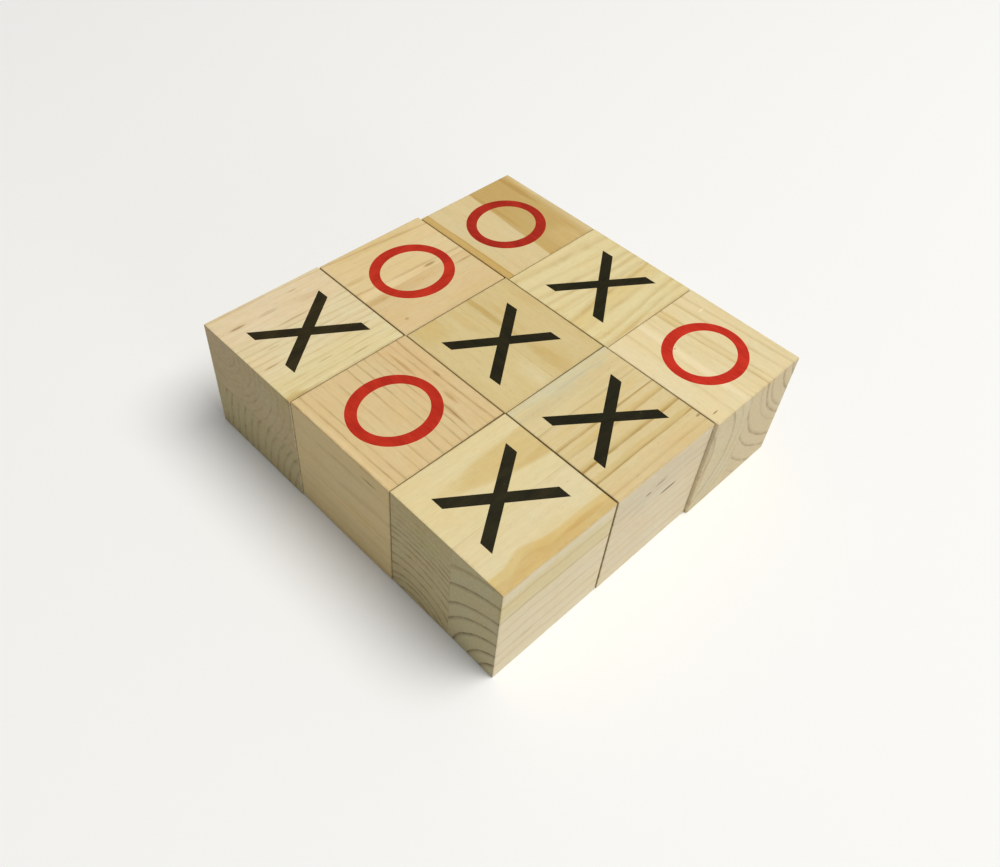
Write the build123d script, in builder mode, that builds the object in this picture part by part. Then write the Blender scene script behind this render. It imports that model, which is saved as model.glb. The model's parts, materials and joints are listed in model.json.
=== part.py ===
from build123d import *

# Giant tic tac toe set: nine pine cubes laid out three by three.
#
# Every cube is glued up from two pine boards and painted on two opposite faces, with a black
# cross on one and a red nought on the other, so turning a cube over changes its mark. The
# paint soaks into the wood and dries level with the face.
#
# Frame: +Z up, +X along the front edge of the set from left to right, +Y away from the front.
# The origin is on the table under the middle of the centre cube. Lengths are in millimetres.

import os
from dataclasses import dataclass
from math import cos, radians, sin

# Cubes
BLOCK = 90.0  # edge length of a cube
EASE = 0.5  # rounding of a cube's outer edges
GAP = 0.5  # nominal gap between neighbouring cubes as laid

# Painted marks
PAINT_DEPTH = 0.2  # how deep the paint soaks into the wood
CROSS_HEIGHT = 60.0
CROSS_TOP_WIDTH = 48.7  # over the outer corners of the two upper ends
CROSS_FOOT_WIDTH = 52.3  # over the outer corners of the two lower ends
CROSS_STROKE = 9.3  # width of a stroke, measured along its level end
NOUGHT_HEIGHT = 61.5
NOUGHT_WIDTH = 56.0
NOUGHT_SIDE_STROKE = 8.0  # width of the ring at its left and right
NOUGHT_END_STROKE = 7.3  # width of the ring at its top and bottom


@dataclass
class Cube:
    """One cube: where it lies, how it is glued up and what its top shows."""

    name: str
    column: int  # -1 left, 0 centre, 1 right
    row: int  # -1 front, 0 middle, 1 back
    shift: tuple  # how far it lies from its place in an exact grid, along X and Y
    turn: float  # degrees, anticlockwise from above
    glue_axis: str  # the axis of the cube that crosses its glue line
    glue_at: float  # where the glue line is along that axis, from the cube's middle
    mark: str  # the mark on its top
    mark_shift: tuple  # how far the top mark's middle lies from the middle of the top
    mark_turn: float = 0.0  # degrees, near 180 where the top mark is painted the other way up


CUBES = [
    Cube("front_left", -1, -1, (-1.0, -1.0), 0.1, "z", -4.0, "cross", (2.2, 1.4), 181.8),
    Cube("front_centre", 0, -1, (-0.9, -0.2), 0.1, "z", -2.0, "nought", (0.1, -2.5)),
    Cube("front_right", 1, -1, (-0.7, 0.0), -0.3, "x", 6.0, "cross", (-1.8, -1.1), 180.0),
    Cube("middle_left", -1, 0, (-0.2, -0.7), 0.1, "x", 4.5, "nought", (-1.4, 1.2)),
    Cube("centre", 0, 0, (0.0, 0.0), 0.1, "y", -1.0, "cross", (-0.6, -2.0), 1.8),
    Cube("middle_right", 1, 0, (0.0, 0.4), -0.1, "x", -5.0, "cross", (-1.9, -1.8), -1.5),
    Cube("back_left", -1, 1, (2.5, -0.5), 0.3, "z", 1.5, "nought", (-0.7, -0.9)),
    Cube("back_centre", 0, 1, (2.3, 0.1), 0.3, "x", 4.0, "cross", (1.2, 0.7), 0.9),
    Cube("back_right", 1, 1, (2.2, 0.6), 0.2, "y", -5.4, "nought", (0.8, 0.3)),
]

BOARD_NAMES = {
    "x": ("left_board", "right_board"),
    "y": ("front_board", "back_board"),
    "z": ("lower_board", "upper_board"),
}
OTHER_MARK = {"cross": "nought", "nought": "cross"}


# Cross: two straight strokes with level ends, spread a little wider at the foot.
with BuildSketch() as cross:
    top = (CROSS_TOP_WIDTH - CROSS_STROKE) / 2
    foot = (CROSS_FOOT_WIDTH - CROSS_STROKE) / 2
    for side in (-1, 1):
        with BuildLine():
            Polyline(
                (side * top - CROSS_STROKE / 2, CROSS_HEIGHT / 2),
                (side * top + CROSS_STROKE / 2, CROSS_HEIGHT / 2),
                (-side * foot + CROSS_STROKE / 2, -CROSS_HEIGHT / 2),
                (-side * foot - CROSS_STROKE / 2, -CROSS_HEIGHT / 2),
                close=True,
            )
        make_face()

# Nought: an upright oval ring.
with BuildSketch() as nought:
    Ellipse(NOUGHT_WIDTH / 2, NOUGHT_HEIGHT / 2)
    Ellipse(
        NOUGHT_WIDTH / 2 - NOUGHT_SIDE_STROKE,
        NOUGHT_HEIGHT / 2 - NOUGHT_END_STROKE,
        mode=Mode.SUBTRACT,
    )

MARKS = {"cross": cross.sketch, "nought": nought.sketch}


def base_plane(cube):
    """The plane a cube stands on, at the middle of its underside and facing up."""
    pitch = BLOCK + GAP
    x = cube.column * pitch + cube.shift[0]
    y = cube.row * pitch + cube.shift[1]
    turn = radians(cube.turn)
    return Plane(origin=(x, y, 0), x_dir=(cos(turn), sin(turn), 0), z_dir=(0, 0, 1))


def top_mark_plane(cube):
    """The plane of a cube's top, facing out, centred on its mark and turned with it."""
    top = base_plane(cube).offset(BLOCK)
    middle = top.origin + top.x_dir * cube.mark_shift[0] + top.y_dir * cube.mark_shift[1]
    return Plane(middle, x_dir=top.x_dir, z_dir=top.z_dir).rotated((0, 0, cube.mark_turn))


def underside_mark_plane(cube):
    """The plane of a cube's underside, facing out, at its middle."""
    base = base_plane(cube)
    return Plane(base.origin, x_dir=-base.x_dir, z_dir=-base.z_dir)


def glue_plane(cube):
    """The plane in which a cube's two boards are glued together."""
    middle = base_plane(cube).offset(BLOCK / 2)
    across = {"x": middle.x_dir, "y": middle.y_dir, "z": middle.z_dir}[cube.glue_axis]
    return Plane(middle.origin + across * cube.glue_at, z_dir=across)


def make_board(cube, keep):
    """One of a cube's two boards, cut back where its paint lies."""
    with BuildPart(base_plane(cube)) as board:
        Box(BLOCK, BLOCK, BLOCK, align=(Align.CENTER, Align.CENTER, Align.MIN))
        fillet(board.edges(), radius=EASE)
        with BuildSketch(top_mark_plane(cube)):
            add(MARKS[cube.mark])
        extrude(amount=-PAINT_DEPTH, mode=Mode.SUBTRACT)
        with BuildSketch(underside_mark_plane(cube)):
            add(MARKS[OTHER_MARK[cube.mark]])
        extrude(amount=-PAINT_DEPTH, mode=Mode.SUBTRACT)
        split(bisect_by=glue_plane(cube), keep=keep)
    return board.part


def make_paint(plane, mark):
    """The paint of one mark, its outer face level with the wood."""
    with BuildPart() as paint:
        with BuildSketch(plane):
            add(MARKS[mark])
        extrude(amount=-PAINT_DEPTH)
    return paint.part


def make_cube(cube):
    """The four pieces of one cube, by name: two boards and two painted marks."""
    first_board, second_board = BOARD_NAMES[cube.glue_axis]
    top, underside = cube.mark, OTHER_MARK[cube.mark]
    return {
        f"{cube.name}_{first_board}": make_board(cube, Keep.BOTTOM),
        f"{cube.name}_{second_board}": make_board(cube, Keep.TOP),
        f"{cube.name}_top_{top}": make_paint(top_mark_plane(cube), top),
        f"{cube.name}_underside_{underside}": make_paint(underside_mark_plane(cube), underside),
    }


os.makedirs("parts", exist_ok=True)
for cube in CUBES:
    for name, piece in make_cube(cube).items():
        piece.label = name
        export_step(piece, f"parts/{name}.step")
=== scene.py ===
"""The looks of the giant tic tac toe set: glued pine cubes, painted marks and a plain studio."""

import json
import math
import random

import bpy
from mathutils import Matrix, Vector


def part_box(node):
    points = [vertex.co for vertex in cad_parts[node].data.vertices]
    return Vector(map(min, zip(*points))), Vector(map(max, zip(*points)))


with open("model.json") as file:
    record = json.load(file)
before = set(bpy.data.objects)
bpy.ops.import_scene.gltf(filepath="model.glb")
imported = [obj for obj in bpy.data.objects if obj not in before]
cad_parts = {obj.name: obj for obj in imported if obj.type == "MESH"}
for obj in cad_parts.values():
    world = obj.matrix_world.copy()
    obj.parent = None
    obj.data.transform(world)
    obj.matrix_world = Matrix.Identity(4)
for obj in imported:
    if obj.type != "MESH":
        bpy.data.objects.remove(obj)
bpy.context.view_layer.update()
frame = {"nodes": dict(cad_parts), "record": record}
scene = bpy.context.scene
MM = 0.001
HALF = 45.0  # half the edge of a cube, in millimetres
INSIDE = 5.0  # a board's face that is further than this inside the cube is the glued one

# ---------------------------------------------------------------- how the cubes lie

# Each cube's turn on the table, in degrees.
TURN = {
    "front_left": 0.1, "front_centre": 0.1, "front_right": -0.3,
    "middle_left": 0.1, "centre": 0.1, "middle_right": -0.1,
    "back_left": 0.3, "back_centre": 0.3, "back_right": 0.2,
}


def nodes_of(cube):
    """The names of a cube's boards and marks."""
    return frame["record"]["behaviour"]["bodies"][f"{cube}_cube"]


def cube_centre(cube):
    """The middle of a cube, from the boxes of its two boards."""
    boxes = [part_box(n) for n in nodes_of(cube) if n.endswith("_board")]
    low = Vector([min(b[0][i] for b in boxes) for i in range(3)])
    high = Vector([max(b[1][i] for b in boxes) for i in range(3)])
    return (low + high) / 2


def extent(node, cube):
    """The box of a board in its cube's own frame, in millimetres."""
    middle = cube_centre(cube)
    straight = Matrix.Rotation(-math.radians(TURN[cube]), 3, "Z")
    obj = frame["nodes"][node]
    points = [straight @ (obj.matrix_world @ v.co - middle) / MM for v in obj.data.vertices]
    return [[pick(p[i] for p in points) for i in range(3)] for pick in (min, max)]


# ---------------------------------------------------------------- a short way to write node trees

def colour(value):
    """A colour of three numbers gets its alpha; a socket stays as it is."""
    return (*value, 1.0) if isinstance(value, tuple) and len(value) == 3 else value


class Tree:
    """A material's node tree, built by short calls that take sockets or plain values."""

    def __init__(self, name):
        self.material = bpy.data.materials.new(name)
        self.material.use_nodes = True
        self.tree = self.material.node_tree
        self.tree.nodes.clear()

    def put(self, socket, value):
        """Links a socket to value, or sets it; None leaves it as it is."""
        if isinstance(value, bpy.types.NodeSocket):
            self.tree.links.new(value, socket)
        elif value is not None:
            socket.default_value = value

    def node(self, kind, *values, **settings):
        made = self.tree.nodes.new(kind)
        for key, value in settings.items():
            setattr(made, key, value)
        for socket, value in zip(made.inputs, values):
            self.put(socket, value)
        return made

    def math(self, operation, a, b=None, c=None, clamp=False):
        return self.node("ShaderNodeMath", a, b, c, operation=operation, use_clamp=clamp).outputs[0]

    def add(self, a, b):
        return self.math("ADD", a, b)

    def sub(self, a, b):
        return self.math("SUBTRACT", a, b)

    def mul(self, a, b):
        return self.math("MULTIPLY", a, b)

    def mul_add(self, a, b, c, clamp=False):
        """a times b, plus c."""
        return self.math("MULTIPLY_ADD", a, b, c, clamp)

    def size(self, a):
        return self.math("ABSOLUTE", a)

    def smaller(self, a, b):
        return self.math("MINIMUM", a, b)

    def larger(self, a, b):
        return self.math("MAXIMUM", a, b)

    def split(self, vector):
        return self.node("ShaderNodeSeparateXYZ", vector).outputs

    def join(self, x, y, z):
        return self.node("ShaderNodeCombineXYZ", x, y, z).outputs[0]

    def vector_math(self, operation, a, b=None, output=0):
        return self.node("ShaderNodeVectorMath", a, b, operation=operation).outputs[output]

    def noise(self, vector, detail=2.0, roughness=0.5):
        """Noise centred on 0, with features about 1 unit of vector across."""
        made = self.node("ShaderNodeTexNoise", noise_dimensions="3D")
        self.put(made.inputs["Vector"], vector)
        made.inputs["Scale"].default_value = 1.0
        made.inputs["Detail"].default_value = detail
        made.inputs["Roughness"].default_value = roughness
        return self.sub(made.outputs["Fac"], 0.5)

    def figure(self, place, across, along, detail=2.0, roughness=0.5):
        """Noise in wood whose grain is the second axis, with features across by along millimetres."""
        stretched = self.vector_math("MULTIPLY", place, (1 / across, 1 / along, 1 / across))
        return self.noise(stretched, detail, roughness)

    def step(self, value, low, high):
        """0 below low and 1 above high, smoothly; high may be the lower of the two."""
        made = self.node("ShaderNodeMapRange", interpolation_type="SMOOTHSTEP")
        self.put(made.inputs["Value"], value)
        made.inputs["From Min"].default_value = low
        made.inputs["From Max"].default_value = high
        return made.outputs["Result"]

    def curve(self, value, points):
        """A line through points, given in order of x; flat outside them."""
        low = points[0][0]
        span = points[-1][0] - low
        made = self.node("ShaderNodeFloatCurve")
        line = made.mapping.curves[0]
        for i, (x, y) in enumerate(points):
            x = (x - low) / span
            if i < 2:  # a new curve has two points already
                line.points[i].location = (x, y)
            else:
                line.points.new(x, y)
        for point in line.points:
            point.handle_type = "VECTOR"
        made.mapping.update()
        made.inputs["Factor"].default_value = 1.0
        self.put(made.inputs["Value"], self.mul_add(value, 1 / span, -low / span, clamp=True))
        return made.outputs[0]

    def mix(self, amount, a, b, blend="MIX"):
        made = self.node("ShaderNodeMix", data_type="RGBA", blend_type=blend)
        self.put(made.inputs[0], amount)
        self.put(made.inputs[6], colour(a))
        self.put(made.inputs[7], colour(b))
        return made.outputs[2]

    def times(self, base, factor):
        """A colour multiplied by another."""
        return self.mix(1.0, base, factor, "MULTIPLY")

    def tint(self, base, amount, factor):
        """Multiplies base by factor where amount is 1, and leaves it where amount is 0."""
        return self.mix(amount, base, self.times(base, factor))

    def finish(self, base, roughness, height, bump, specular):
        """Adds the shader, with height in millimetres, and returns the material."""
        shader = self.node("ShaderNodeBsdfPrincipled")
        self.put(shader.inputs["Base Color"], base)
        self.put(shader.inputs["Roughness"], roughness)
        shader.inputs["Specular IOR Level"].default_value = specular
        made = self.node("ShaderNodeBump")
        made.inputs["Strength"].default_value = bump
        made.inputs["Distance"].default_value = MM
        self.put(made.inputs["Height"], height)
        self.tree.links.new(made.outputs[0], shader.inputs["Normal"])
        out = self.node("ShaderNodeOutputMaterial")
        self.tree.links.new(shader.outputs[0], out.inputs[0])
        return self.material

    def local_mm(self, cube):
        """Position in the cube's own frame, in millimetres from its middle."""
        made = self.node("ShaderNodeMapping", vector_type="TEXTURE")
        self.put(made.inputs["Vector"], self.node("ShaderNodeTexCoord").outputs["Object"])
        made.inputs["Location"].default_value = cube_centre(cube)
        made.inputs["Rotation"].default_value = (0, 0, math.radians(TURN[cube]))
        made.inputs["Scale"].default_value = (MM, MM, MM)
        return made.outputs[0]


# ---------------------------------------------------------------- what is known of the boards

# Each board in its cube's own frame, in millimetres from the cube's middle.
# grain: the axis along which the fibres run; "across" below is the other level axis.
# pith: (across, z) of the middle of the tree; lean: how far it moves per millimetre of grain.
# rings: radii of the growth rings, or (radius, strength).
# rest: the strength of the rings beyond that list, which keep its mean spacing; 1 if not given.
# late: width of the dark latewood inside each ring; edge: how soft its outer side is.
# wave: how far rings wander; fade: how unevenly they show.
# streaky: how strong the fine streaks are; 1 if not given.
# depth: strength of the latewood on the level faces, the long upright ones, and across the grain.
# end_dark: what multiplies dark across the grain.
# bulge: (where along the grain, half width, how far rings move there).
# bands: (from, to, softness at each, factor) for zones of another colour, by radius.
# stripe: (where, softness, factor) for the edge of another colour below that place across.
# tone: early wood; dark: late wood; both as linear colours.
BOARDS = {
    "front_left_upper_board": dict(
        grain="y", pith=(-28, 39), lean=(0.02, 0.0),
        rings=((6, 0.2), (11, 0.3), 16, 21, 27, 32, 37.5, 42.7, 49, 55, 61, 67, 73),
        late=1.5, edge=0.9, wave=1.3, fade=2.0, streaky=2.2,
        depth=(0.48, 0.42, 0.30), end_dark=(0.62, 0.66, 0.78),
        tone=(0.744, 0.634, 0.391), dark=(0.558, 0.404, 0.182)),
    "front_left_lower_board": dict(
        grain="y", pith=(97, -48), lean=(0.01, 0.0),
        rings=(58, 65, 71.5, 78, 85.5, 92, 101, 108, 115.5, 122.5, 130, 136.5),
        late=2.2, edge=0.9, wave=1.5, fade=1.8,
        depth=(0.5, 0.42, 0.52), end_dark=(0.62, 0.68, 0.80),
        tone=(0.716, 0.611, 0.364), dark=(0.502, 0.357, 0.155)),
    "front_centre_upper_board": dict(
        grain="x", pith=(120, -30), lean=(0.0, 0.0),
        rings=(111.8, (116, 0.5), 123.6, 127.6, (132.2, 0.7), 137.4, (144, 1.1), 154.1, (161, 0.55),
            170.1, 175.6),
        late=1.1, edge=0.45, wave=1.2, fade=1.9,
        depth=(0.68, 0.3, 0.6),
        tone=(0.691, 0.526, 0.273), dark=(0.348, 0.211, 0.0798)),
    "front_centre_lower_board": dict(
        grain="x", pith=(10, -200), lean=(0.0, 0.004),
        rings=(168, (177, 0.6), 186, (196, 0.8), 201),
        late=3.2, edge=0.9, wave=0.7, fade=0.9,
        depth=(0.4, 0.36, 0.5),
        tone=(0.677, 0.517, 0.273), dark=(0.47, 0.306, 0.126)),
    "front_right_left_board": dict(
        grain="y", pith=(-21.5, -59), lean=(0.06, 0.01414),
        rings=(21, 28, 33, 42, 51, 59, 66, 72, 77, (82, 0.8), (87, 0.5), (92, 0.45), (97.5, 0.4),
            (100.8, 0.2)),
        rest=0.1, late=2.5, edge=0.4, wave=0.3, fade=1.4,
        depth=(0.4, 0.3, 0.88),
        bands=((102.1, 104.28, 0.9, 0.22, (0.90, 0.815, 0.64)), (0, 46, 1, 5, (0.93, 0.88, 0.82))),
        tone=(0.743, 0.637, 0.363), dark=(0.521, 0.335, 0.116)),
    "front_right_right_board": dict(
        grain="y", pith=(66, -60), lean=(0.02, 0.0),
        rings=(35.7, 45, 57, 68.5, 79, 94, (108.4, 0.55)),
        rest=0.3, late=3.4, edge=0.35, wave=0.6, fade=0.55,
        depth=(0.6, 0.42, 1.0), end_dark=(0.48, 0.53, 0.66),
        bulge=(-18, 17, -1.15),
        bands=((105.3, 109.9, 1.6, 0.4, (0.93, 0.82, 0.58)), (80, 98, 4, 6, (0.985, 0.965, 0.90))),
        tone=(0.735, 0.627, 0.37), dark=(0.502, 0.316, 0.107)),
    "middle_left_left_board": dict(
        grain="y", pith=(-120, -10), lean=(0.069, 0.0),
        rings=((76.5, 0.9), (80, 0.9), (86, 0.7), (97.8, 1.0), (109, 0.25), (120, 0.3), (130.2, 1.1)),
        rest=0.3, late=2.0, edge=0.8, wave=1.0, fade=1.0,
        depth=(0.55, 0.42, 0.6),
        tone=(0.74, 0.58, 0.31), dark=(0.461, 0.314, 0.135)),
    "middle_left_right_board": dict(
        grain="y", pith=(30, -150), lean=(0.02, 0.004),
        rings=(160, 172, 183, (190, 0.5), 197),
        rest=0.6, late=3.0, edge=1.2, wave=1.2, fade=1.2,
        depth=(0.26, 0.2, 0.5),
        tone=(0.711, 0.541, 0.284), dark=(0.539, 0.37, 0.162)),
    "centre_back_board": dict(
        grain="x", pith=(60, -60), lean=(0.02, 0.0),
        rings=(80, 92, 105, (117, 0.8), 128),
        rest=0.5, late=5.0, edge=2.2, wave=1.6, fade=1.6,
        depth=(0.28, 0.25, 0.5),
        tone=(0.653, 0.517, 0.25), dark=(0.493, 0.344, 0.113)),
    "centre_front_board": dict(
        grain="x", pith=(-20, -120), lean=(0.03, 0.01),
        rings=(130, 142, 155, (167, 0.7)),
        rest=0.5, late=4.0, edge=2.4, wave=1.8, fade=1.6,
        depth=(0.2, 0.2, 0.5),
        tone=(0.671, 0.543, 0.271), dark=(0.512, 0.37, 0.141)),
    "middle_right_left_board": dict(
        grain="y", pith=(-110, -60), lean=(0.0, 0.0),
        rings=((104, 0.4), (112, 0.25), (120, 0.2), (139.5, 1.0)),
        rest=0.12, late=1.5, edge=0.5, wave=0.6, fade=0.8,
        depth=(0.75, 0.2, 0.7),
        tone=(0.692, 0.569, 0.305), dark=(0.43, 0.29, 0.105)),
    "middle_right_right_board": dict(
        grain="y", pith=(-70, -90), lean=(-0.01, 0.0),
        rings=(94, 100, 106, 111, 117, 122, 128.4, 134.2, 139, (144.2, 0.7), (150.4, 0.85),
            (154.3, 0.65), (160.7, 1.05), (166.8, 1.1), (173.6, 0.3)),
        rest=0.3, late=1.15, edge=0.4, wave=0.4, fade=0.8,
        depth=(1.0, 0.34, 0.8),
        tone=(0.687, 0.556, 0.294), dark=(0.405, 0.25, 0.05)),
    "back_left_upper_board": dict(
        grain="x", pith=(95, -20), lean=(-0.05, 0.0),
        rings=((55.5, 0.8), (61.5, 0.9), (69, 0.75), (76, 0.9), (140, 0.2)),
        rest=0.15, late=1.6, edge=0.5, wave=0.9, fade=1.0,
        depth=(0.55, 0.5, 0.7),
        bands=((84, 115.1, 4.0, 0.7, (0.80, 0.685, 0.44)), (124, 132, 4, 4, (1.02, 1.03, 1.05))),
        stripe=(-39.0, 0.4, (0.85, 0.715, 0.45)),
        tone=(0.686, 0.554, 0.299), dark=(0.419, 0.265, 0.0735)),
    "back_left_lower_board": dict(
        grain="x", pith=(95, -20), lean=(-0.05, 0.0),
        rings=((51.2, 0.9), (53.8, 0.8), 62, 75, 89, 103, 118, 133),
        late=4.0, edge=0.8, wave=1.0, fade=0.8,
        depth=(0.4, 0.42, 0.7),
        bands=((84, 115.1, 4.0, 0.7, (0.87, 0.80, 0.66)),),
        tone=(0.655, 0.509, 0.247), dark=(0.455, 0.287, 0.09)),
    "back_centre_left_board": dict(
        grain="y", pith=(-90, -60), lean=(0.07, 0.0),
        rings=((106, 0.6), (112, 0.8), 118, (124, 0.6), 130, 134.5),
        late=2.1, edge=1.6, wave=1.8, fade=1.2,
        depth=(0.62, 0.25, 0.6),
        tone=(0.748, 0.639, 0.349), dark=(0.568, 0.431, 0.188)),
    "back_centre_right_board": dict(
        grain="y", pith=(-80, -100), lean=(-0.07, 0.0),
        rings=((150, 0.6), 156, 163, (170.5, 1.1), (177, 0.7), 184, 189),
        late=2.4, edge=1.3, wave=1.8, fade=1.1,
        depth=(0.66, 0.25, 0.6),
        bands=((170.3, 175.5, 1.2, 2.0, (0.955, 0.905, 0.79)),),
        tone=(0.748, 0.639, 0.345), dark=(0.549, 0.397, 0.149)),
    "back_right_front_board": dict(
        grain="x", pith=(-74.8, 12.6), lean=(-0.035, 0.0),
        rings=((18, 1), 37.9, 57.8, (66, 0.4), (75, 0.6)),
        rest=0.4, late=3.0, edge=0.8, wave=0.8, fade=1.0,
        depth=(0.34, 0.3, 0.62),
        tone=(0.779, 0.658, 0.393), dark=(0.536, 0.383, 0.165)),
    "back_right_back_board": dict(
        grain="x", pith=(85, 60), lean=(0.055, 0.0),
        rings=(40, 52, (61.5, 1.1), (74, 0.9), (79.4, 1.0), (86, 0.4), 99, 108.5, 120.7),
        rest=0.5, late=2.8, edge=0.9, wave=0.8, fade=1.0,
        depth=(0.5, 0.44, 0.72),
        tone=(0.764, 0.64, 0.375), dark=(0.497, 0.351, 0.138)),
}
END_DARK = (0.74, 0.78, 0.92)  # for boards with no end_dark of their own

# On upright faces the colour carries painted light and shade: cooler where the side lamp falls on the right
# faces, darker on the front faces that are in shade. Across the grain the wood is darker, partly its own
# tone and partly painted shade on the front faces and painted cool light on the right ones.
UPRIGHT_PAINTED_LIGHT = (0.96, 0.975, 1.11)
UPRIGHT_PAINTED_LIGHTS = {
    "front_centre_upper_board": (0.861, 0.88, 0.826),
    "front_centre_lower_board": (0.861, 0.88, 0.826),
    "front_right_right_board": (0.935, 0.94, 1.08),
    "middle_right_right_board": (0.98, 1.03, 1.35),
}
END_TONE_AND_PAINTED_LIGHT = (0.71, 0.72, 0.73)
ENDS_TONE_AND_PAINTED_LIGHT = {
    "front_left_upper_board": (0.60, 0.57, 0.52),
    "front_left_lower_board": (0.59, 0.578, 0.52),
    "front_right_left_board": (0.613, 0.605, 0.572),
    "front_right_right_board": (0.627, 0.645, 0.634),
    "back_right_front_board": (0.78, 0.78, 0.84),
    "back_right_back_board": (0.79, 0.77, 0.83),
}

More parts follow.
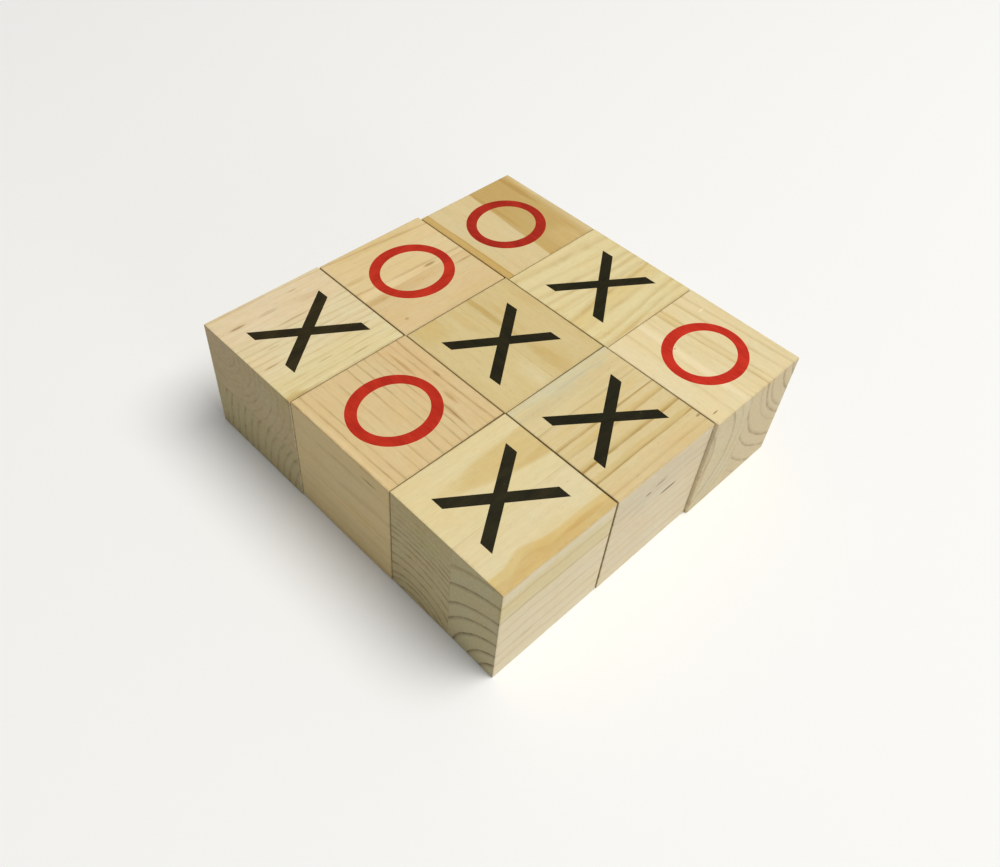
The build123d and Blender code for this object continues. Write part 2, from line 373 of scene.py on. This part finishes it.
# Single marks in the wood: (x, y, z) in the cube's own frame, half sizes, and what multiplies
# the colour there.
MARKS_IN_WOOD = {
    "front_left_upper_board": [
        ((-30, 0, 45), (26, 90, 30), (1.01, 0.965, 1.01)),
        ((38, 0, 45), (26, 90, 30), (0.99, 1.0, 0.90)),
        ((-28, -31, 45), (1.2, 8, 4), (0.60, 0.52, 0.42)),
        ((-28, -8, 45), (2.0, 10, 4), (0.86, 0.82, 0.76)),
        ((-25, 22, 45), (4, 12, 6), (0.93, 0.89, 0.84)),
        ((-13, 0, 45), (1.0, 14, 4), (0.78, 0.72, 0.64)),
        ((14.3, -36, 45), (0.8, 8, 4), (0.70, 0.62, 0.52)),
        ((1, -24, 45), (0.9, 6, 4), (0.82, 0.77, 0.70)),
        ((44, -40, 45), (5, 12, 6), (0.84, 0.76, 0.60)),
        ((20, 32, 45), (0.8, 7, 4), (0.74, 0.67, 0.58)),
        ((30, -6, 45), (0.8, 9, 4), (0.80, 0.74, 0.66)),
        ((-36, 17, 45), (0.9, 5, 4), (0.76, 0.70, 0.62)),
        ((7, 6, 45), (0.7, 8, 4), (0.80, 0.74, 0.66)),
        ((38, 16, 45), (0.8, 9, 4), (0.78, 0.71, 0.62)),
    ],
    "front_centre_upper_board": [
        ((-30, 30, 45), (50, 14, 14), (1.0, 0.955, 0.93)),
        ((-26, 26, 45), (16, 1.8, 4), (0.80, 0.72, 0.62)),
        ((14, 30, 45), (9, 1.8, 4), (0.80, 0.72, 0.62)),
        ((22, 22, 45), (16, 2.6, 4), (0.88, 0.82, 0.74)),
        ((-6, 37, 45), (4, 1.2, 4), (0.76, 0.67, 0.56)),
        ((10, -20, 45), (40, 6, 8), (1.02, 1.03, 1.05)),
        ((0, -43.5, 45), (70, 4, 4), (1.05, 1.07, 1.12)),
        ((27, -45, 35.5), (9, 2, 0.9), (0.42, 0.40, 0.37)),
    ],
    "front_centre_lower_board": [
        ((0, -45, 17), (60, 6, 3.5), (0.90, 0.85, 0.80)),
        ((0, -45, -12), (70, 6, 6), (1.05, 1.05, 1.05)),
    ],
    "front_right_left_board": [
        ((-10, 40, 45), (4.5, 22, 2.0), (0.95, 0.91, 0.84)),
        ((-12, -45, 27), (20, 6, 14), (0.97, 1.02, 0.97)),
    ],
    "front_right_right_board": [
        ((39, 22, 45), (2.4, 30, 2.0), (0.95, 0.885, 0.77)),
        ((42, -24, 45), (3, 24, 3), (0.98, 0.93, 0.86)),
        ((36, -5, 45), (4, 12, 2), (0.97, 0.93, 0.84)),
        ((45, 0, 27), (4, 110, 17), (0.955, 0.945, 0.82)),
        ((45, 4, 16.5), (3, 110, 1.8), (0.88, 0.85, 0.78)),
        ((45, -20, -21.5), (3, 9, 1.0), (0.78, 0.74, 0.68)),
        ((45, 22, -7), (3, 12, 0.9), (0.86, 0.82, 0.77)),
    ],
    "middle_left_left_board": [
        ((0.8, 15, 45), (1.5, 6.5, 4), (0.60, 0.54, 0.42)),
        ((0, -22, 45), (5, 40, 14), (1.05, 1.06, 1.12)),
        ((-40, 0, 45), (5, 50, 10), (0.96, 0.93, 0.86)),
        ((-17, -36, 45), (3, 12, 5), (0.92, 0.88, 0.80)),
    ],
    "middle_left_right_board": [
        ((33.5, -34, 45), (1.6, 2.2, 3), (0.78, 0.70, 0.56)),
        ((8.5, -38, 45), (4.5, 12, 5), (0.88, 0.82, 0.72)),
        ((12, 38, 45), (1.2, 11, 4), (0.76, 0.68, 0.58)),
        ((40, 20, 45), (8, 40, 10), (0.98, 0.97, 0.93)),
        ((9, -12, 45), (6, 30, 8), (0.955, 0.93, 0.88)),
    ],
    "centre_back_board": [
        ((-26, 9, 45), (34, 3.6, 8), (0.88, 0.81, 0.64)),
        ((-20, 17, 45), (30, 3.0, 8), (0.96, 0.92, 0.84)),
        ((30, 11, 45), (22, 9, 10), (0.95, 0.91, 0.80)),
        ((34, 34, 45), (20, 7, 10), (1.01, 1.02, 1.06)),
    ],
    "centre_front_board": [
        ((-38, -30, 45), (18, 16, 14), (0.96, 0.91, 0.78)),
        ((34, -8, 45), (20, 8, 10), (1.04, 1.06, 1.16)),
        ((-30, -8, 45), (20, 5, 10), (0.97, 0.94, 0.88)),
    ],
    "middle_right_left_board": [
        ((-47, 0, 45), (15, 100, 30), (0.93, 1.02, 1.20)),
        ((-33, -6, 45), (7, 60, 10), (0.945, 0.945, 0.96)),
        ((-38, 4, 45), (1.4, 26, 6), (0.91, 0.94, 0.97)),
        ((-12, 0, 45), (5, 70, 10), (0.985, 0.95, 0.88)),
        ((-24, 20, 45), (2, 40, 8), (0.97, 0.95, 0.90)),
    ],
    "middle_right_right_board": [
        ((2, 0, 45), (2.6, 90, 10), (0.96, 0.92, 0.78)),
        ((14.5, 0, 45), (2.6, 90, 10), (0.95, 0.915, 0.79)),
        ((25, 0, 45), (2.4, 90, 10), (0.95, 0.905, 0.76)),
        ((39, 0, 45), (9, 80, 12), (1.0, 0.955, 0.93)),
        ((33.5, 43, 45), (1.4, 3, 3), (0.60, 0.50, 0.38)),
        ((45, -13, 25), (3, 4, 1.4), (0.42, 0.38, 0.32)),
        ((45, 9, 12.3), (3, 10, 1.6), (0.36, 0.32, 0.26)),
        ((45, -2, 27.5), (3, 8, 2.6), (0.70, 0.66, 0.60)),
        ((45, -20, 15), (3, 12, 3), (0.94, 0.93, 0.93)),
        ((45, 0, 30), (4, 80, 22), (0.93, 0.93, 0.93)),
    ],
    "back_left_upper_board": [
        ((40, 22, 45), (20, 16, 12), (1.09, 1.12, 1.22)),
        ((-30, 43.5, 45), (40, 3, 8), (1.10, 1.14, 1.25)),
        ((-30, 36, 45), (32, 3.4, 8), (0.88, 0.80, 0.66)),
        ((-20, 4, 45), (34, 3.0, 6), (0.92, 0.88, 0.78)),
        ((30, -39.2, 45), (90, 1.0, 3), (0.88, 0.80, 0.62)),
    ],
    "back_centre_right_board": [
        ((44, 0, 45), (4, 60, 12), (0.97, 0.93, 0.88)),
    ],
    "back_right_front_board": [
        ((0, -13, 45), (90, 4.5, 8), (1.07, 1.09, 1.18)),
        ((37, -38, 45), (0.6, 3.8, 2.5), (0.26, 0.23, 0.18)),
        ((-15, -12, 45), (1.2, 1.2, 2), (0.55, 0.46, 0.34)),
        ((45, -42, 5), (4, 3, 50), (0.90, 0.86, 0.80)),
    ],
    "back_right_back_board": [
        ((-34, 8, 45), (26, 6, 8), (0.95, 0.89, 0.76)),
        ((10, 11, 45), (40, 4, 8), (0.97, 0.94, 0.88)),
        ((-27, 33, 45), (0.7, 4.0, 2), (1.25, 1.30, 1.45)),
        ((30, 42, 45), (20, 2, 5), (0.95, 0.92, 0.86)),
    ],
}


# ---------------------------------------------------------------- pine

SPACING_RANGE = (0.75, 1.25)  # each spacing beyond the listed rings, by their mean
STRENGTH_RANGE = (0.72, 0.9)  # each ring's strength, by the strength that it is given
WIDTH_RANGE = (0.85, 1.2)  # each ring's latewood, by the board's
LATE_LIMIT = 0.8  # the share of the wood since the last ring that latewood may take
# How latewood darkens towards its ring: (share of its width still to go, share of its strength).
DARKENING = ((1.0, 0.0), (0.5, 0.35), (0.15, 0.9), (0.0, 1.0))
INNER_SPARE = 12  # rings are made this far inside and outside a board, for those that wander in
OUTER_SPARE = 3
MARK_CORE = 0.35  # the share of a mark's half size that has its full colour

# What multiplies the colour in warmer patches, in resin canals, along worn edges and in the glue.
WARM_PATCH = (1.0, 0.965, 0.90)
CANAL = (0.62, 0.52, 0.40)
WORN_EDGE = (0.80, 0.76, 0.70)
GLUE = (0.72, 0.64, 0.54)
# How much the fine grain and the slow hue each change red, green and blue.
GRAIN_AND_HUE = ((0.14, 0.05), (0.18, -0.03), (0.25, -0.06))


def ring_profile(spec, low, high, rng):
    """Points of the latewood's strength against radius, from low to high."""
    rings = [r if isinstance(r, tuple) else (r, 1.0) for r in spec["rings"]]
    gap = (rings[-1][0] - rings[0][0]) / (len(rings) - 1)
    rest = spec.get("rest", 1.0)
    while rings[0][0] > low:
        rings.insert(0, (rings[0][0] - gap * rng.uniform(*SPACING_RANGE), rest))
    while rings[-1][0] < high + gap:
        rings.append((rings[-1][0] + gap * rng.uniform(*SPACING_RANGE), rest))
    points = [(rings[0][0] - gap, 0.0)]
    for radius, strength in rings:
        strength *= rng.uniform(*STRENGTH_RANGE)
        room = LATE_LIMIT * (radius - points[-1][0])
        late = min(spec["late"] * rng.uniform(*WIDTH_RANGE), room)
        points += [(radius - share * late, level * strength) for share, level in DARKENING]
        points.append((radius + spec["edge"], 0.0))
    return points


def facing(t, side):
    """How far a face looks along the grain, and how far it is long and upright, from 0 to 1."""
    normal = t.split(t.node("ShaderNodeTexCoord").outputs["Normal"])
    return [t.step(t.size(normal[axis]), 0.6, 0.8) for axis in (1 - side, side)]


def ring_wander(t, spec, along, place, quick):
    """How far the rings stray outwards, more slowly along the grain than across it."""
    slow = t.figure(place, 26, 60, detail=1.0)
    wander = t.add(t.mul(slow, 2.6 * spec["wave"]), t.mul(quick, 0.7 * spec["wave"]))
    if "bulge" in spec:
        where, width, amount = spec["bulge"]
        near = t.step(t.size(t.sub(along, where)), width, 0.0)
        wander = t.add(wander, t.mul(near, amount))
    return wander


def ring_radius(t, spec, across, along, z):
    """Distance from the pith."""
    (pith_across, pith_up), (lean_across, lean_up) = spec["pith"], spec["lean"]
    p_across = t.mul_add(along, -lean_across, t.sub(across, pith_across))
    p_up = t.mul_add(along, -lean_up, t.sub(z, pith_up))
    return t.math("SQRT", t.add(t.mul(p_across, p_across), t.mul(p_up, p_up)))


def latewood(t, spec, radius, low, high, side, rng):
    """The dark rings, from 0 to 1, for a board whose box is low to high."""
    pith_across, pith_up = spec["pith"]
    corners = [
        math.hypot(a - pith_across, b - pith_up)
        for a in (low[side], high[side])
        for b in (low[2], high[2])
    ]
    profile = ring_profile(spec, min(corners) - INNER_SPARE, max(corners) + OUTER_SPARE, rng)
    return t.curve(radius, profile)


def with_bands(t, wood, spec, radius, across, wander, end, streak):
    """Zones of heartwood and resin, by radius and along one edge."""
    for start, stop, soft_in, soft_out, factor in spec.get("bands", ()):
        inside = t.step(radius, start - soft_in, start + soft_in)
        outside = t.step(radius, stop + soft_out, stop - soft_out)
        streaked = t.mul_add(streak, 0.9, 0.95, clamp=True)
        zone = t.mul(t.mul(inside, outside), t.mul_add(end, -0.6, streaked, clamp=True))
        wood = t.tint(wood, zone, factor)
    if "stripe" in spec:
        where, soft, factor = spec["stripe"]
        zone = t.step(t.add(across, t.mul(wander, 0.3)), where + soft, where - soft)
        wood = t.tint(wood, zone, factor)
    return wood


def with_marks(t, wood, node, place, ragged):
    """The board's own single marks, with ragged edges."""
    for middle, half, factor in MARKS_IN_WOOD.get(node, []):
        away = t.vector_math("SUBTRACT", place, middle)
        away = t.vector_math("MULTIPLY", away, tuple(1 / h for h in half))
        away = t.add(t.vector_math("LENGTH", away, output="Value"), ragged)
        wood = t.tint(wood, t.step(away, 1.0, MARK_CORE), factor)
    return wood


def with_edges(t, wood, axes, low, high, mottle, hue):
    """A dirty touch along the worn edges of the cube, and the line of glue between its boards."""
    near = [t.sub(HALF, t.size(c)) for c in axes]
    least = t.smaller(t.smaller(near[0], near[1]), near[2])
    most = t.larger(t.larger(near[0], near[1]), near[2])
    second = t.sub(t.sub(t.add(t.add(near[0], near[1]), near[2]), least), most)
    worn = t.step(t.add(second, t.mul(mottle, 3.0)), 1.5, 0.2)
    wood = t.tint(wood, t.mul(worn, 0.5), WORN_EDGE)
    faces = [(axis, face) for axis in range(3) for face in (low[axis], high[axis])]
    axis, plane = next((axis, face) for axis, face in faces if abs(face) < HALF - INSIDE)
    glue = t.step(t.size(t.sub(axes[axis], plane)), 0.28, 0.10)
    return t.tint(wood, t.mul(glue, t.mul_add(hue, 1.5, 0.45, clamp=True)), GLUE)


def pine(node, cube, spec, seed):
    """Solid pine: growth rings round the pith, fibres along the grain, and the board's own marks."""
    rng = random.Random(seed)
    t = Tree(f"pine_{node}")
    place = t.local_mm(cube)
    x, y, z = t.split(place)
    side = 0 if spec["grain"] == "y" else 1
    across, along = (x, y) if side == 0 else (y, x)
    low, high = extent(node, cube)
    end, upright = facing(t, side)

    # Textures, each about as many millimetres across and along the grain as its numbers say.
    shift = tuple(rng.uniform(-500, 500) for _ in range(3))
    grainwise = t.vector_math("ADD", t.join(across, along, z), shift)
    quick = t.figure(grainwise, 4.5, 17)
    fibre = t.figure(grainwise, 0.5, 12, detail=3.0, roughness=0.6)
    streak = t.figure(grainwise, 1.9, 45, detail=3.0, roughness=0.6)
    blotch = t.figure(grainwise, 22, 45)
    mottle = t.figure(grainwise, 2.6, 5, detail=3.0, roughness=0.65)
    hue = t.figure(grainwise, 7, 14)
    hatch = t.figure(grainwise, 2.0, 4, detail=4.0, roughness=0.75)
    canal = t.step(t.figure(grainwise, 0.7, 5.5, detail=1.0), 0.19, 0.27)
    fade = t.larger(t.mul_add(t.figure(grainwise, 8, 24), 2.4 * spec["fade"], 1.0), 0.12)

    # Growth rings.
    wander = ring_wander(t, spec, along, grainwise, quick)
    radius = t.add(ring_radius(t, spec, across, along, z), wander)
    late = latewood(t, spec, radius, low, high, side, rng)
    level, long_side, across_end = spec["depth"]
    depth = t.mul_add(upright, long_side - level, t.mul_add(end, across_end - level, level))
    amount = t.mul(t.mul(late, depth), t.mul(fade, t.mul_add(streak, 1.4, 1.0)))
    amount = t.smaller(t.larger(amount, 0.0), 1.0)
    end_dark = tuple(k * c for k, c in zip(spec.get("end_dark", END_DARK), spec["dark"]))
    wood = t.mix(amount, spec["tone"], t.mix(end, spec["dark"], end_dark))
    wood = with_bands(t, wood, spec, radius, across, wander, end, streak)
    wood = t.tint(wood, t.step(blotch, -0.22, 0.22), WARM_PATCH)

    # Fibres, which change blue more than red, and resin canals.
    hatched = t.mul(hatch, t.mul_add(end, 3.0, t.mul(upright, 0.9)))
    streaks = t.mul(streak, 0.75 * spec.get("streaky", 1.0))
    grainy = t.add(t.add(fibre, streaks), t.add(t.mul(mottle, 0.75), hatched))
    tints = [
        t.add(t.mul_add(grainy, grain_share, 1.0), t.mul(hue, hue_share))
        for grain_share, hue_share in GRAIN_AND_HUE
    ]
    wood = t.times(wood, t.node("ShaderNodeCombineColor", *tints).outputs[0])
    wood = t.tint(wood, t.mul(canal, 0.38), CANAL)

    # Marks, the tone of each kind of face with its painted light and shade, edges and glue.
    wood = with_marks(t, wood, node, place, t.add(t.mul(quick, 0.8), t.mul(streak, 0.5)))
    # End grain gets its own darker tone plus painted shade or cool light; upright faces get painted light
    # and shade.
    wood = t.tint(wood, end, ENDS_TONE_AND_PAINTED_LIGHT.get(node, END_TONE_AND_PAINTED_LIGHT))
    wood = t.tint(wood, upright, UPRIGHT_PAINTED_LIGHTS.get(node, UPRIGHT_PAINTED_LIGHT))
    wood = with_edges(t, wood, (x, y, z), low, high, mottle, hue)

    roughness = t.mul_add(late, -0.07, t.mul_add(end, 0.14, 0.58))
    fine = t.add(t.mul(fibre, t.mul_add(end, 0.10, 0.07)), t.mul(streak, 0.05))
    relief = t.mul_add(late, 0.05, t.add(fine, t.mul(t.mul(hatch, end), 0.12)))
    return t.finish(wood, roughness, relief, bump=0.55, specular=0.30)


# ---------------------------------------------------------------- paint

# The usual and the deeper colour of each mark's paint, as linear colours.
PAINTS = {
    "cross": ((0.026, 0.0205, 0.0065), (0.012, 0.010, 0.0035)),
    "nought": ((0.565, 0.033, 0.013), (0.40, 0.018, 0.007)),
}
BARE_WOOD = (0.62, 0.40, 0.22)  # what shows in the pores that the paint missed
# Some marks took the paint more thickly or more thinly than the rest.
PAINT_FACTORS = {
    "back_left_top_nought": (0.80, 0.78, 0.85),
    "back_right_top_nought": (1.13, 1.05, 1.15),
    "front_left_top_cross": (1.35, 1.25, 1.15),
    "back_centre_top_cross": (0.82, 0.88, 0.75),
    "centre_top_cross": (0.86, 0.88, 0.80),
    "middle_right_top_cross": (0.76, 0.84, 0.84),
    "front_right_top_cross": (1.08, 1.15, 1.30),
}


def paint(node, cube, seed):
    """Thin matt paint that has soaked in, so the fibres under it still show."""
    rng = random.Random(seed)
    factor = PAINT_FACTORS.get(node, (1, 1, 1))
    coats = PAINTS[node.rsplit("_", 1)[1]]
    base, deep = (tuple(k * c for k, c in zip(factor, coat)) for coat in coats)
    t = Tree(f"paint_{node}")
    x, y, z = t.split(t.local_mm(cube))
    grain = BOARDS[nodes_of(cube)[0]]["grain"]  # both boards of a cube have the same grain
    across, along = (x, y) if grain == "y" else (y, x)
    place = t.join(t.add(across, rng.uniform(-300, 300)), t.add(along, rng.uniform(-300, 300)), z)
    fibre = t.figure(place, 0.5, 9, detail=3.0, roughness=0.6)
    patch = t.figure(place, 6, 16)
    pore = t.step(t.figure(place, 0.9, 2.2, detail=1.0), 0.23, 0.32)
    shade = t.step(t.add(t.mul(fibre, 1.5), t.mul(patch, 1.2)), -0.42, 0.42)
    coat = t.mix(t.mul(pore, 0.12), t.mix(shade, deep, base), BARE_WOOD)
    roughness = t.mul_add(fibre, 0.15, 0.60)
    return t.finish(coat, roughness, t.mul(fibre, 0.07), bump=0.5, specular=0.11)


for cube_number, cube in enumerate(TURN):
    for number, node in enumerate(nodes_of(cube)):
        seed = 100 * cube_number + number
        slots = frame["nodes"][node].data.materials
        slots.clear()
        if node.endswith("_board"):
            slots.append(pine(node, cube, BOARDS[node], seed))
        else:
            slots.append(paint(node, cube, seed))

# ---------------------------------------------------------------- studio

FLOOR_REACH = 12.0  # from the middle to each side of the floor, in metres
FLOOR_DROP = 0.0002  # keeps the floor clear of the undersides, in metres
FLOOR_COLOUR = (0.90, 0.90, 0.895, 1.0)


def plain_floor():
    """A flat pale square under the set."""
    mesh = bpy.data.meshes.new("studio_floor")
    signs = ((-1, -1), (1, -1), (1, 1), (-1, 1))
    mesh.from_pydata([(sx * FLOOR_REACH, sy * FLOOR_REACH, 0) for sx, sy in signs], [], [(0, 1, 2, 3)])
    made = bpy.data.objects.new("studio_floor", mesh)
    made.location.z = -FLOOR_DROP
    scene.collection.objects.link(made)
    matt = Tree("studio_floor").finish(FLOOR_COLOUR, roughness=0.85, height=0.0, bump=0.0, specular=0.1)
    mesh.materials.append(matt)
    return made


def area_light(name, place, target, size, power, tint):
    """A round soft light at place that shines at target."""
    data = bpy.data.lights.new(name, "AREA")
    data.shape = "DISK"
    data.size = size
    data.energy = power
    data.color = tint
    light = bpy.data.objects.new(name, data)
    light.location = place
    light.rotation_mode = "QUATERNION"
    light.rotation_quaternion = (Vector(target) - Vector(place)).to_track_quat("-Z", "Y")
    scene.collection.objects.link(light)


def add_sky(strength):
    """Even white light from all round."""
    scene.world = bpy.data.worlds.new("studio")
    scene.world.use_nodes = True
    background = scene.world.node_tree.nodes["Background"]
    background.inputs[0].default_value = (1.0, 1.0, 1.0, 1.0)
    background.inputs[1].default_value = strength


floor = plain_floor()
area_light("key", (1.95, 1.43, 5.46), target=(0, 0, 0), size=3.9, power=291.0, tint=(1.0, 0.985, 0.95))
area_light("side_fill", (4.8, -0.5, 1.1), target=(0, 0, 0.04), size=2.0, power=32.0, tint=(0.70, 0.88, 1.0))
add_sky(strength=0.31)
scene.view_settings.view_transform = "Standard"

# ---------------------------------------------------------------- camera


def add_camera(place, azimuth, elevation, roll, lens):
    """A camera at place that looks down from azimuth, elevation and leans roll to its left.

    The angles are in degrees. Azimuth 0 looks from the front of the set and 90 from its right.
    """
    azimuth, elevation, roll = (math.radians(angle) for angle in (azimuth, elevation, roll))
    level = math.cos(elevation)
    back = Vector((math.sin(azimuth) * level, -math.cos(azimuth) * level, math.sin(elevation)))
    side = (-back).cross(Vector((0, 0, 1))).normalized()
    up = side.cross(-back)
    right_hand = side * math.cos(roll) + up * math.sin(roll)
    upward = up * math.cos(roll) - side * math.sin(roll)
    camera = bpy.data.objects.new("camera", bpy.data.cameras.new("camera"))
    camera.data.sensor_width = 36.0
    camera.data.lens = lens
    turn = Matrix((right_hand, upward, back)).transposed().to_4x4()
    camera.matrix_world = Matrix.Translation(place) @ turn
    scene.collection.objects.link(camera)
    scene.camera = camera


add_camera((0.2914, -0.3322, 0.4999), azimuth=40.92, elevation=48.58, roll=5.91, lens=33.36)
